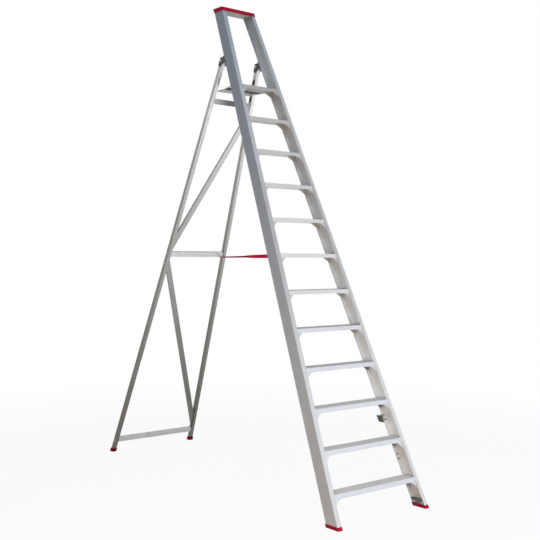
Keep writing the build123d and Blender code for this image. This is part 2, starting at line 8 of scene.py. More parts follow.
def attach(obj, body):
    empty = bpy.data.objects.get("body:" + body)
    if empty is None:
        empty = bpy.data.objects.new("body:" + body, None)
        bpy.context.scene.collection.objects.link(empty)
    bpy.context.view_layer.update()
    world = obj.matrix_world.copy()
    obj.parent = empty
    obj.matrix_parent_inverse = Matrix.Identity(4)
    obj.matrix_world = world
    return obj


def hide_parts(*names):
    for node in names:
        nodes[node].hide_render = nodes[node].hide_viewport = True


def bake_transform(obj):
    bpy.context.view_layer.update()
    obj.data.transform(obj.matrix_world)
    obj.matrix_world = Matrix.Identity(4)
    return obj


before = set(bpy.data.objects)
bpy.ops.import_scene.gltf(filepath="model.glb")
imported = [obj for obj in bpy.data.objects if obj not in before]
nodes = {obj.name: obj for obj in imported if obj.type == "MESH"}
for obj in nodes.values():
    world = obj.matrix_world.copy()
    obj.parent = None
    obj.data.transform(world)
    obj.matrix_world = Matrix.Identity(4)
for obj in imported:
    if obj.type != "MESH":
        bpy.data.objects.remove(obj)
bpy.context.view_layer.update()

scene = bpy.context.scene
print("frame loaded,", len(nodes), "nodes")

# Lines of the ladder that the fittings sit on, in metres
ladder = dict(
    slope=math.radians(66.0),
    prop=math.radians(68.0906),
    toeY=-1.350131,
    heelY=1.330869,
    floorHalf=0.394,
    spread=0.073135,
    depth=0.095,
    flange=0.031,
    faceSetback=0.0028,
    rearHalf=0.374,
    rearSpread=0.071632,
    legWidth=0.028,
    firstTread=0.186,
    rise=0.2375,
    treads=12,
    pivot=(0.1595345, 0.1267187, 2.994),
)
lean = 1.0 / math.tan(ladder["slope"])
legLean = 1.0 / math.tan(ladder["prop"])
treadTops = ladder["firstTread"] + ladder["rise"] * np.arange(ladder["treads"])
deckLevel = float(treadTops[-1])
climbOut = np.array([0.0, -math.sin(ladder["slope"]), math.cos(ladder["slope"])])
climbUp = np.array([0.0, math.cos(ladder["slope"]), math.sin(ladder["slope"])])
propOut = np.array([0.0, -math.sin(ladder["prop"]), -math.cos(ladder["prop"])])
propUp = np.array([0.0, -math.cos(ladder["prop"]), math.sin(ladder["prop"])])
toRight = np.array([1.0, 0.0, 0.0])
straightUp = np.array([0.0, 0.0, 1.0])
bothSides = (-1.0, 1.0)


def outerX(z):
    return ladder["floorHalf"] - ladder["spread"] * z


def behind(z, setback):
    return ladder["toeY"] + z * lean + setback / math.sin(ladder["slope"])


def legX(z):
    return ladder["rearHalf"] - ladder["rearSpread"] * z


def legY(z):
    return ladder["heelY"] - legLean * z


# Camera at the place the photo was taken from
shot = dict(
    place=(-3.9355, -5.0725, 1.5940), yaw=39.068, pitch=-0.904, roll=0.277,
    lens=59.28, sensor=36.0, reach=200.0,
)
yaw, pitch, roll = (math.radians(shot[angle]) for angle in ("yaw", "pitch", "roll"))
viewAhead = Vector((math.sin(yaw) * math.cos(pitch), math.cos(yaw) * math.cos(pitch), math.sin(pitch)))
viewLevel = Vector((math.cos(yaw), -math.sin(yaw), 0.0))
viewUpright = viewLevel.cross(viewAhead)
viewRight = math.cos(roll) * viewLevel + math.sin(roll) * viewUpright
viewAbove = -math.sin(roll) * viewLevel + math.cos(roll) * viewUpright
viewTurn = Matrix((viewRight, viewAbove, -viewAhead)).transposed().to_4x4()
cameraData = bpy.data.cameras.new("shotCamera")
cameraData.lens = shot["lens"]
cameraData.sensor_width = shot["sensor"]
cameraData.clip_end = shot["reach"]
camera = bpy.data.objects.new("shotCamera", cameraData)
camera.matrix_world = Matrix.Translation(shot["place"]) @ viewTurn
scene.collection.objects.link(camera)
scene.camera = camera
scene.view_settings.view_transform = "Standard"
print("camera placed")

# Node helpers: a new node goes into the tree of the sockets that feed it
nodeStep = 220
plainWhite = (1, 1, 1, 1)


def addNode(tree, kind, **settings):
    # Nodes stand side by side in the order that they are made
    made = tree.nodes.new(kind)
    made.location = (nodeStep * len(tree.nodes), 0)
    for key, value in settings.items():
        setattr(made, key, value)
    return made


def isSocket(item):
    return isinstance(item, bpy.types.NodeSocket)


def feed(socket, source):
    # The source is another socket, which is linked, or a fixed value
    if isSocket(source):
        socket.id_data.links.new(source, socket)
    else:
        socket.default_value = source


def nodeFor(items, kind, **settings):
    tree = next(item.id_data for item in items if isSocket(item))
    return addNode(tree, kind, **settings)


def newGroup(name, inputs, outputs):
    # inputs and outputs give the kind of each socket by its name
    tree = bpy.data.node_groups.new(name, "ShaderNodeTree")
    for direction, sockets in (("INPUT", inputs), ("OUTPUT", outputs)):
        for label, kind in sockets.items():
            tree.interface.new_socket(name=label, in_out=direction, socket_type="NodeSocket" + kind)
    return tree, addNode(tree, "NodeGroupInput").outputs, addNode(tree, "NodeGroupOutput").inputs


def useGroup(tree, group, **sources):
    made = addNode(tree, "ShaderNodeGroup", node_tree=group)
    for label, source in sources.items():
        feed(made.inputs[label], source)
    return made.outputs


def scaled(vector, scale):
    made = nodeFor([vector], "ShaderNodeMapping")
    feed(made.inputs["Vector"], vector)
    feed(made.inputs["Scale"], scale)
    return made.outputs["Vector"]


def noise(vector, size=1.0, detail=3.0, roughness=0.5):
    made = nodeFor([vector], "ShaderNodeTexNoise")
    for label, source in dict(Vector=vector, Scale=size, Detail=detail, Roughness=roughness).items():
        feed(made.inputs[label], source)
    return made.outputs["Fac"]


def fit(value, fromRange, toRange=(0.0, 1.0), smooth=False):
    made = nodeFor([value], "ShaderNodeMapRange")
    if smooth:
        made.interpolation_type = "SMOOTHSTEP"
    feed(made.inputs["Value"], value)
    for label, number in zip(("From Min", "From Max", "To Min", "To Max"), (*fromRange, *toRange)):
        feed(made.inputs[label], number)
    return made.outputs["Result"]


def sums(operation, *terms):
    made = nodeFor(terms, "ShaderNodeMath", operation=operation)
    for socket, term in zip(made.inputs, terms):
        feed(socket, term)
    return made.outputs["Value"]


def mixed(amount, first, second, blend="MIX"):
    # Sockets 0, 6 and 7 are the amount and the two colours when the node mixes colours
    made = nodeFor((amount, first, second), "ShaderNodeMix", data_type="RGBA", blend_type=blend)
    for place, item in ((0, amount), (6, first), (7, second)):
        feed(made.inputs[place], item)
    return made.outputs[2]


def axes(vector):
    made = nodeFor([vector], "ShaderNodeSeparateXYZ")
    feed(made.inputs[0], vector)
    return made.outputs


def byHeight(height, stops):
    # Colour that passes through the stops, each a height in metres and a colour
    made = nodeFor([height], "ShaderNodeValToRGB")
    top = stops[-1][0]
    lowest, highest = made.color_ramp.elements
    lowest.position = stops[0][0] / top
    lowest.color = stops[0][1]
    highest.color = stops[-1][1]
    for level, colour in stops[1:-1]:
        made.color_ramp.elements.new(level / top).color = colour
    feed(made.inputs["Fac"], sums("DIVIDE", height, top))
    return made.outputs["Color"]


def underTread(height):
    # How far a point lies below the tread top above it; the margin keeps the tops themselves near nought
    margin = 0.0001
    below = sums("SUBTRACT", ladder["firstTread"] + margin, height)
    return sums("FLOORED_MODULO", below, ladder["rise"])


def fromToe(place):
    # Y of a point carried down the slope of the stiles to the floor, to compare with behind(0, setback)
    return sums("MULTIPLY_ADD", place["Z"], -lean, place["Y"])


def rearFlangeMask(place, facing, setback, share):
    # Faces that look forward and lie deeper than the setback
    lookForward = (-0.8, -0.4)
    deep = sums("GREATER_THAN", fromToe(place), behind(0.0, setback))
    return sums("MULTIPLY", deep, fit(facing["Y"], lookForward, (share, 0.0), True))


# Streaks left by the die, running along the vector's Z
streakLook = dict(
    fine=(620, 620, 2.2), broad=(70, 70, 0.6), broadShare=0.45, cloud=(9, 9, 2.5), cloudShare=0.35,
    tone=(0.35, 0.95),
)


def dieStreaks(look):
    group, given, result = newGroup(
        "dieStreaks", dict(Vector="Vector", Fine="Float"), dict(Tone="Float", Height="Float"),
    )
    fineLines = noise(scaled(given["Vector"], look["fine"]))
    broadBands = noise(scaled(given["Vector"], look["broad"]), detail=2)
    cloud = noise(scaled(given["Vector"], look["cloud"]), detail=4)
    tone = sums("MULTIPLY", fineLines, given["Fine"])
    tone = sums("MULTIPLY_ADD", broadBands, look["broadShare"], tone)
    tone = sums("MULTIPLY_ADD", cloud, look["cloudShare"], tone)
    feed(result["Tone"], fit(tone, look["tone"]))
    feed(result["Height"], fineLines)
    return group


# Scuffs and short scratches from handling
scuffLook = dict(
    patches=dict(size=7.0, detail=5.0, roughness=0.65), patchFade=(0.54, 0.72),
    grains=(260, 90, 180), grainFade=(0.5, 0.66), hairs=(45, 900, 60), hairFade=(0.63, 0.72),
)


def handlingScuffs(look):
    group, given, result = newGroup(
        "handlingScuffs", dict(Vector="Vector", Amount="Float"), dict(Mask="Float"),
    )
    patches = fit(noise(given["Vector"], **look["patches"]), look["patchFade"], smooth=True)
    grains = fit(noise(scaled(given["Vector"], look["grains"]), detail=2), look["grainFade"], smooth=True)
    hairs = fit(noise(scaled(given["Vector"], look["hairs"]), detail=1), look["hairFade"], smooth=True)
    either = sums("MAXIMUM", sums("MULTIPLY", patches, grains), hairs)
    feed(result["Mask"], sums("MULTIPLY", either, given["Amount"]))
    return group


# Dust that settles on faces that look up and near the floor
dustLook = dict(
    up=(0.45, 0.95), upShare=0.9, low=(0.02, 0.30),
    speckle=dict(size=16.0, detail=4.0), speckleFade=(0.2, 0.7), speckleShare=(0.5, 1.0),
)


def settledDust(look):
    group, given, result = newGroup(
        "settledDust", dict(Vector="Vector", Normal="Vector", Amount="Float"), dict(Mask="Float"),
    )
    up = fit(axes(given["Normal"])["Z"], look["up"], (0.0, look["upShare"]), True)
    low = fit(axes(given["Vector"])["Z"], look["low"], (1.0, 0.0), True)
    speckle = noise(given["Vector"], **look["speckle"])
    speckle = fit(speckle, look["speckleFade"], look["speckleShare"], True)
    spread = sums("MULTIPLY", sums("MAXIMUM", up, low), speckle)
    feed(result["Mask"], sums("MULTIPLY", spread, given["Amount"]))
    return group


# Fine pebble of a moulded surface, and slow changes of its tone
pebbleLook = dict(size=22.0, detail=5.0)


def mouldedPebble(look):
    group, given, result = newGroup(
        "mouldedPebble", dict(Vector="Vector", Size="Float"), dict(Height="Float", Tone="Float"),
    )
    cells = addNode(group, "ShaderNodeTexVoronoi")
    feed(cells.inputs["Vector"], given["Vector"])
    feed(cells.inputs["Scale"], given["Size"])
    feed(result["Height"], cells.outputs["Distance"])
    feed(result["Tone"], noise(given["Vector"], **look))
    return group


# Painted light and shade inside the stile channels: paler low down and towards the rear corner, with a warm
# painted shade close under each tread
channelLightLook = dict(
    web=(
        (0.12, (0.82, 0.74, 0.69, 1)), (0.55, (1.0, 0.975, 0.945, 1)), (1.2, (0.86, 0.87, 0.855, 1)),
        (1.7, (0.745, 0.74, 0.725, 1)), (2.2, (0.63, 0.63, 0.64, 1)), (2.75, (0.66, 0.66, 0.66, 1)),
        (3.2, (0.42, 0.425, 0.435, 1)),
    ),
    back=(
        (0.12, (0.78, 0.75, 0.72, 1)), (0.5, (0.90, 0.89, 0.875, 1)), (1.5, (0.92, 0.925, 0.92, 1)),
        (2.8, (0.92, 0.94, 0.96, 1)), (3.2, (0.54, 0.56, 0.60, 1)),
    ),
    shade=(0.83, 0.78, 0.75, 1), shadeFade=(0.45, 0.95),
    backShade=(0.76, 0.72, 0.69, 1), backFade=(0.25, 0.6), backEven=(1.4, 2.8),
    corner=(0.97, 0.965, 0.96, 1), cornerFade=(0.055, 0.092), cornerShare=0.45, deckFade=0.01,
)


def channelPaintedLight(look):
    group, given, result = newGroup("channelPaintedLight", dict(Vector="Vector"), dict(Web="Color", Back="Color"))
    place = axes(given["Vector"])
    gap = sums("DIVIDE", underTread(place["Z"]), ladder["rise"])
    overDeck = fit(place["Z"], (deckLevel - look["deckFade"], deckLevel))
    lit = sums("MAXIMUM", fit(gap, look["shadeFade"]), overDeck)
    cornerFade = [behind(0.0, setback) for setback in look["cornerFade"]]
    corner = fit(fromToe(place), cornerFade, (0.0, look["cornerShare"]))
    web = mixed(corner, byHeight(place["Z"], look["web"]), look["corner"])
    feed(result["Web"], mixed(1.0, web, mixed(lit, look["shade"], plainWhite), "MULTIPLY"))
    backLit = sums("MAXIMUM", fit(gap, look["backFade"]), overDeck)
    backLit = sums("MAXIMUM", backLit, fit(place["Z"], look["backEven"], (1.0, 0.0)))
    back = byHeight(place["Z"], look["back"])
    feed(result["Back"], mixed(1.0, back, mixed(backLit, look["backShade"], plainWhite), "MULTIPLY"))
    return group


streakGroup = dieStreaks(streakLook)
scuffGroup = handlingScuffs(scuffLook)
dustGroup = settledDust(dustLook)
pebbleGroup = mouldedPebble(pebbleLook)
channelLightGroup = channelPaintedLight(channelLightLook)

# Groups of painted light and shade laid over a finish: every one takes these sockets and gives the colour
# back
overlayInputs = dict(Vector="Vector", Normal="Vector", Along="Vector", Colour="Color")
overlayOutputs = dict(Colour="Color")

# Stiles: outer webs darker with painted shade, paler rims along their edges and painted light towards the
# floor;
# flanges with painted light that changes with height, painted light and shade in the channels, a painted
# shadow on the rear flanges
stileLightLook = dict(
    web=(0.21, 0.23, 0.275, 1), webShare=0.75,
    paintedLowShading=(0.56, 0.51, 0.475, 1), lowShadingFade=(0.2, 2.9), lowShadingShare=0.85,
    flange=(
        (0.1, (0.50, 0.49, 0.49, 1)), (0.5, (0.575, 0.57, 0.58, 1)), (1.0, (0.61, 0.586, 0.584, 1)),
        (1.5, (0.485, 0.478, 0.472, 1)), (1.95, (0.465, 0.458, 0.458, 1)), (2.25, (0.585, 0.592, 0.60, 1)),
        (2.7, (0.55, 0.58, 0.605, 1)), (3.05, (0.41, 0.475, 0.565, 1)),
    ),
    flangeShare=0.8, pale=(0.78, 0.775, 0.765, 1),
    rim=(0.66, 0.66, 0.66, 1), rimFade=(0.0465, 0.0505), rimShare=0.8,
    outside=(-0.8, -0.35), inside=(0.35, 0.8), insideShare=0.9, setback=0.07,
    edgeShade=(0.45, 0.44, 0.43, 1), edgeShadeFade=(0.0225, 0.0265), edgeShadeShare=0.7,
)


def stilePaintedLight(look):
    # Inward is 1 where the ladder's middle lies towards X, -1 on the other side; the other input lightens the
    # flanges with painted light
    group, given, result = newGroup("stilePaintedLight", dict(overlayInputs, Inward="Float", FlangeLight="Float"), overlayOutputs)
    place = axes(given["Vector"])
    facing = axes(given["Normal"])
    toInside = sums("MULTIPLY", facing["X"], given["Inward"])
    outer = fit(toInside, look["outside"], (1.0, 0.0), True)
    inner = fit(toInside, look["inside"], (0.0, look["insideShare"]), True)
    # painted light: the flanges' tone follows height
    flange = mixed(given["FlangeLight"], byHeight(place["Z"], look["flange"]), look["pale"])
    colour = mixed(look["flangeShare"], given["Colour"], flange)
    # painted shade: the outer webs darker than the flanges
    web = mixed(look["webShare"], given["Colour"], look["web"])
    # painted light: the outer webs paler and warmer towards the floor
    paintedLowShading = fit(place["Z"], look["lowShadingFade"], (look["lowShadingShare"], 0.0))
    colour = mixed(outer, colour, mixed(paintedLowShading, web, look["paintedLowShading"]))
    # paler rims along the front and back edges of the outer webs
    fromMiddle = sums("ABSOLUTE", sums("SUBTRACT", fromToe(place), behind(0.0, ladder["depth"] / 2)))
    rim = fit(fromMiddle, look["rimFade"], (0.0, look["rimShare"]), True)
    colour = mixed(sums("MULTIPLY", rim, outer), colour, look["rim"])
    # painted light and shade inside the channel
    paintedLight = useGroup(group, channelLightGroup, Vector=given["Vector"])
    colour = mixed(inner, colour, paintedLight["Web"])
    rearFlange = rearFlangeMask(place, facing, look["setback"], look["insideShare"])
    colour = mixed(rearFlange, colour, paintedLight["Back"])
    # painted shadow: a dark strip along the inner edge of the rear flange
    outerFace = sums("MULTIPLY_ADD", place["Z"], -ladder["spread"], ladder["floorHalf"])
    fromOutside = sums("SUBTRACT", outerFace, sums("ABSOLUTE", place["X"]))
    edgeShade = fit(fromOutside, look["edgeShadeFade"], (0.0, look["edgeShadeShare"]), True)
    feed(result["Colour"], mixed(sums("MULTIPLY", edgeShade, rearFlange), colour, look["edgeShade"]))
    return group


# Tread brackets: their sides take the painted light and shade of the channel; the flaps behind carry a
# painted shade close under the tread, darkest on the low treads
bracketLightLook = dict(
    sides=(0.5, 0.9), share=0.9, setback=0.07, low=(0.17, 0.167, 0.163, 1), high=(0.53, 0.49, 0.435, 1),
    fade=(0.8, 1.15), under=(0.056, 0.068), underShare=0.85,
)


def bracketPaintedLight(look):
    group, given, result = newGroup("bracketPaintedLight", overlayInputs, overlayOutputs)
    place = axes(given["Vector"])
    facing = axes(given["Normal"])
    paintedLight = useGroup(group, channelLightGroup, Vector=given["Vector"])
    sideways = fit(sums("ABSOLUTE", facing["X"]), look["sides"], (0.0, look["share"]), True)
    colour = mixed(sideways, given["Colour"], paintedLight["Web"])
    # painted shade on the rear flaps, close under the tread
    flapShade = mixed(fit(place["Z"], look["fade"]), look["low"], look["high"])
    clear = fit(underTread(place["Z"]), look["under"], (0.0, look["underShare"]), True)
    flapShade = mixed(clear, flapShade, paintedLight["Back"])
    rearFlap = rearFlangeMask(place, facing, look["setback"], look["share"])
    feed(result["Colour"], mixed(rearFlap, colour, flapShade))
    return group


# Treads and deck: dust on the tops, paler on the lower treads with painted light, and grime between the ribs
dirtAndLightLook = dict(
    lowPaintedLight=(0.98, 0.92, 0.855, 1), fade=(0.7, 1.3), up=(0.5, 0.9), face=(0.77, 0.76, 0.755, 1),
    grime=(0.16, 0.148, 0.132, 1), ribFoot=(0.0004, 0.0009), ribFloor=(0.0016, 0.0022), share=0.28,
)


def treadDirtAndLight(look):
    group, given, result = newGroup(
        "treadDirtAndLight",
        dict(Vector="Vector", Normal="Vector", Dust="Color"),
        dict(DustAndLight="Color", Grime="Float"),
    )
    height = axes(given["Vector"])["Z"]
    onTop = fit(axes(given["Normal"])["Z"], look["up"], smooth=True)
    # painted light: the dust on the lower treads' tops paler
    dustAndLight = mixed(fit(height, look["fade"], (1.0, 0.0)), given["Dust"], look["lowPaintedLight"])
    feed(result["DustAndLight"], mixed(onTop, look["face"], dustAndLight))
    under = underTread(height)
    belowRib = fit(under, look["ribFoot"], smooth=True)
    between = sums("MULTIPLY", belowRib, fit(under, look["ribFloor"], (1.0, 0.0), True))
    feed(result["Grime"], sums("MULTIPLY", between, sums("MULTIPLY", onTop, look["share"])))
    return group


# Tread faces: painted shade, bluish and a little greyer near the floor and at the top, palest in the middle
faceShadeLook = dict(
    up=(0.5, 0.9),
    paintedLight=(
        (0.15, (0.70, 0.72, 0.765, 1)), (0.65, (0.745, 0.765, 0.84, 1)), (1.1, (0.824, 0.843, 0.892, 1)),
        (1.4, (0.90, 0.905, 0.92, 1)), (1.85, (1.0, 1.0, 1.0, 1)), (2.3, (0.93, 0.926, 0.92, 1)),
        (2.56, (0.87, 0.85, 0.825, 1)),
    ),
)


def treadFaceShade(look):
    group, given, result = newGroup("treadFaceShade", overlayInputs, overlayOutputs)
    upright = fit(axes(given["Normal"])["Z"], look["up"], (1.0, 0.0), True)
    tone = byHeight(axes(given["Vector"])["Z"], look["paintedLight"])
    feed(result["Colour"], mixed(upright, given["Colour"], tone, "MULTIPLY"))
    return group


# Legs and braces: sides darkened with painted shade, and painted shade in patches that grows towards the
# floor
legShadeLook = dict(
    flankShade=(0.42, 0.38, 0.345, 1), flankShadeFade=(0.4, 0.8), flankShadeShare=0.88, colour=(0.15, 0.136, 0.118, 1),
    fade=(0.4, 2.62), shadeCurve=0.5, share=0.98, patches=dict(size=6.0, detail=2.0), patchFade=(0.2, 0.8),
    patchShare=(0.92, 1.02),
)


def legPaintedShade(look):
    group, given, result = newGroup("legPaintedShade", overlayInputs, overlayOutputs)
    # painted shade: the sides of the legs darker
    flankShade = sums("ABSOLUTE", axes(given["Normal"])["X"])
    flankShade = fit(flankShade, look["flankShadeFade"], (0.0, look["flankShadeShare"]), True)
    colour = mixed(flankShade, given["Colour"], look["flankShade"])
    # painted shade: darker towards the floor, in uneven patches
    patches = fit(noise(given["Along"], **look["patches"]), look["patchFade"], look["patchShare"])
    low = sums("POWER", fit(axes(given["Vector"])["Z"], look["fade"], (1.0, 0.0)), look["shadeCurve"])
    paintedLowShading = sums("MULTIPLY", sums("MULTIPLY", low, patches), look["share"])
    feed(result["Colour"], mixed(paintedLowShading, colour, look["colour"]))
    return group


# The bar under the platform: darker in the middle with painted shade, paler towards its ends
middleShadeLook = dict(colour=(0.10, 0.092, 0.082, 1), fade=(0.02, 0.17), share=0.85)


def middlePaintedShade(look):
    group, given, result = newGroup("middlePaintedShade", overlayInputs, overlayOutputs)
    fromAxis = sums("ABSOLUTE", axes(given["Vector"])["X"])
    # painted shade: darker in the middle
    middleShade = fit(fromAxis, look["fade"], (look["share"], 0.0), True)
    feed(result["Colour"], mixed(middleShade, given["Colour"], look["colour"]))
    return group


stileLightGroup = stilePaintedLight(stileLightLook)
bracketLightGroup = bracketPaintedLight(bracketLightLook)
dirtAndLightGroup = treadDirtAndLight(dirtAndLightLook)
faceShadeGroup = treadFaceShade(faceShadeLook)
legShadeGroup = legPaintedShade(legShadeLook)
middleShadeGroup = middlePaintedShade(middleShadeLook)
print("finish groups built")


def startMaterial(name, metallic=0.0, specular=0.5):
    # Gives the material with its tree, the shader's sockets, object coordinates and the normal
    material = bpy.data.materials.new(name)
    material.use_nodes = True
    tree = material.node_tree
    surface = tree.nodes["Principled BSDF"].inputs
    feed(surface["Metallic"], metallic)
    feed(surface["Specular IOR Level"], specular)
    coords = addNode(tree, "ShaderNodeTexCoord").outputs["Object"]
    normal = addNode(tree, "ShaderNodeNewGeometry").outputs["Normal"]
    return material, tree, surface, coords, normal


def bumpFrom(surface, height, look):
    bump = nodeFor([height], "ShaderNodeBump")
    feed(bump.inputs["Height"], height)
    feed(bump.inputs["Strength"], look["bump"])
    feed(bump.inputs["Distance"], look["bumpDepth"])
    feed(surface["Normal"], bump.outputs["Normal"])


# Aluminium: streaks along the draw, scuffs, dust
metalLooks = dict(
    stile=dict(
        dark=(0.37, 0.435, 0.525, 1), pale=(0.45, 0.515, 0.605, 1),
        scuff=(0.58, 0.61, 0.65, 1), dust=(0.50, 0.48, 0.45, 1),
        scuffs=0.4, dusting=0.4, metallic=0.25, specular=0.5,
    ),
    tread=dict(
        dark=(0.74, 0.73, 0.725, 1), pale=(0.88, 0.87, 0.86, 1),
        scuff=(0.80, 0.81, 0.83, 1), dust=(0.54, 0.505, 0.465, 1),
        scuffs=0.4, dusting=1.0, metallic=0.1, specular=0.15,
    ),
    deck=dict(
        dark=(0.80, 0.785, 0.755, 1), pale=(0.92, 0.905, 0.875, 1),
        scuff=(0.94, 0.93, 0.91, 1), dust=(0.58, 0.545, 0.505, 1),
        scuffs=0.3, dusting=1.0, metallic=0.1, specular=0.15,
    ),
    topTread=dict(
        dark=(0.53, 0.525, 0.515, 1), pale=(0.61, 0.605, 0.595, 1),
        scuff=(0.68, 0.675, 0.665, 1), dust=(0.58, 0.545, 0.505, 1),
        scuffs=0.3, dusting=1.0, metallic=0.1, specular=0.15,
    ),
    sheet=dict(
        dark=(0.54, 0.545, 0.555, 1), pale=(0.65, 0.655, 0.665, 1),
        scuff=(0.72, 0.72, 0.72, 1), dust=(0.45, 0.43, 0.40, 1),
        scuffs=0.4, dusting=0.4, metallic=0.25, specular=0.5,
    ),
    hoop=dict(
        dark=(0.31, 0.287, 0.252, 1), pale=(0.38, 0.354, 0.312, 1),
        scuff=(0.46, 0.435, 0.39, 1), dust=(0.40, 0.38, 0.35, 1),
        scuffs=0.3, dusting=0.4, metallic=0.0, specular=0.1,
    ),
    tube=dict(
        dark=(0.88, 0.89, 0.90, 1), pale=(0.95, 0.96, 0.97, 1),
        scuff=(0.97, 0.97, 0.97, 1), dust=(0.30, 0.275, 0.25, 1),
        scuffs=0.2, dusting=0.2, metallic=0.7, specular=0.5,
    ),
    bar=dict(
        dark=(0.76, 0.76, 0.765, 1), pale=(0.87, 0.87, 0.875, 1),
        scuff=(0.90, 0.90, 0.90, 1), dust=(0.38, 0.36, 0.33, 1),
        scuffs=0.1, dusting=0.5, metallic=0.3, specular=0.3,
    ),
)
metalFinish = dict(roughness=(0.36, 0.48), dulling=0.45, fine=0.5, bump=0.12, bumpDepth=0.0002)


def metalMaterial(name, look, turn, wear=None, ribbed=False, **values):
    # turn brings the draw direction of the piece onto Z; the group laid over the dusty metal paints light and
    # shade
    look = metalLooks[look]
    material, tree, surface, coords, normal = startMaterial(name, look["metallic"], look["specular"])
    mapping = addNode(tree, "ShaderNodeMapping")
    feed(mapping.inputs["Vector"], coords)
    feed(mapping.inputs["Rotation"], turn)
    along = mapping.outputs["Vector"]
    streaks = useGroup(tree, streakGroup, Vector=along, Fine=metalFinish["fine"])
    scuffs = useGroup(tree, scuffGroup, Vector=along, Amount=look["scuffs"])
    dust = useGroup(tree, dustGroup, Vector=coords, Normal=normal, Amount=look["dusting"])
    colour = mixed(streaks["Tone"], look["dark"], look["pale"])
    colour = mixed(scuffs["Mask"], colour, look["scuff"])
    if ribbed:
        dirtAndLight = useGroup(tree, dirtAndLightGroup, Vector=coords, Normal=normal, Dust=look["dust"])
        colour = mixed(dust["Mask"], colour, dirtAndLight["DustAndLight"])
        colour = mixed(dirtAndLight["Grime"], colour, dirtAndLightLook["grime"])
    else:
        colour = mixed(dust["Mask"], colour, look["dust"])
    if wear:
        overlaid = useGroup(tree, wear, Vector=coords, Normal=normal, Along=along, Colour=colour, **values)
        colour = overlaid["Colour"]
    feed(surface["Base Color"], colour)
    drawn = fit(streaks["Tone"], (0.0, 1.0), metalFinish["roughness"])
    feed(surface["Roughness"], sums("MULTIPLY_ADD", dust["Mask"], metalFinish["dulling"], drawn))
    bumpFrom(surface, streaks["Height"], metalFinish)
    return material


# Rotations that stand the draw direction upright: of the stiles, the rear legs, the braces and pieces across
def slopeTurn(side):
    splay = math.atan(ladder["spread"] * math.sin(ladder["slope"]))
    return (math.pi / 2 - ladder["slope"], side * splay, 0.0)


def legTurn(side):
    splay = math.atan(ladder["rearSpread"] * math.sin(ladder["prop"]))
    return (ladder["prop"] - math.pi / 2, side * splay, 0.0)


def braceTurn(degrees):
    return (ladder["prop"] - math.pi / 2, -math.radians(degrees), 0.0)


acrossTurn = (0.0, math.pi / 2, 0.0)
metals = dict(
    leftStileMetal=dict(look="stile", turn=slopeTurn(-1), wear=stileLightGroup, Inward=1.0),
    rightStileMetal=dict(look="stile", turn=slopeTurn(1), wear=stileLightGroup, Inward=-1.0, FlangeLight=0.25),
    treadMetal=dict(look="tread", turn=acrossTurn, wear=faceShadeGroup, ribbed=True),
    deckMetal=dict(look="deck", turn=acrossTurn, ribbed=True),
    topTreadMetal=dict(look="topTread", turn=acrossTurn, ribbed=True),
    foldedSheet=dict(look="sheet", turn=slopeTurn(0), wear=bracketLightGroup),
    hoopSheet=dict(look="hoop", turn=acrossTurn),
    leftLegTube=dict(look="tube", turn=legTurn(-1), wear=legShadeGroup),
    rightLegTube=dict(look="tube", turn=legTurn(1), wear=legShadeGroup),
    shadedMiddleTube=dict(look="sheet", turn=acrossTurn, wear=middleShadeGroup),
    barTube=dict(look="bar", turn=acrossTurn),
    upperBraceTube=dict(look="tube", turn=braceTurn(21.0), wear=legShadeGroup),
    lowerBraceTube=dict(look="tube", turn=braceTurn(-25.0), wear=legShadeGroup),
)

